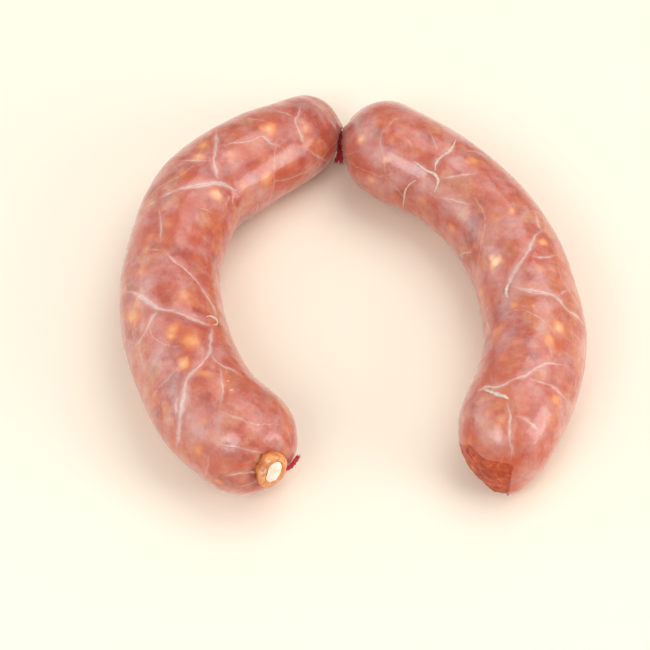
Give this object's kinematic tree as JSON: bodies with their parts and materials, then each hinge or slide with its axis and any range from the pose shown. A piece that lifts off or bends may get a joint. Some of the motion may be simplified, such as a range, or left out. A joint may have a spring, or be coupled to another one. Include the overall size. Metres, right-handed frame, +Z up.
{
  "type": "sausage links",
  "caption": "String of fresh coarse sausage links in natural casing, tied with string and lying bent into an open ring, the casing torn open at one end.",
  "frame": {"origin": "middle of the outer box in plan, on the plane that both links lie on", "axes": "+X to the right link, +Y to the knot between the links, +Z up"},
  "size_m": [0.1866, 0.1904, 0.0422],
  "materials": {
    "casing": "natural casing over coarse pink mince with yellow fat, moist and softly glossy",
    "filling": "bare coarse mince, moist",
    "string": "twisted red cotton string",
    "fat": "white fat in a cut face"
  },
  "bodies": {
    "root": {"link_left": "casing", "casing_right": "casing", "filling_right": "filling", "string_neck": "string", "string_stub": "string", "stub_fat": "fat"}
  },
  "joints": []
}
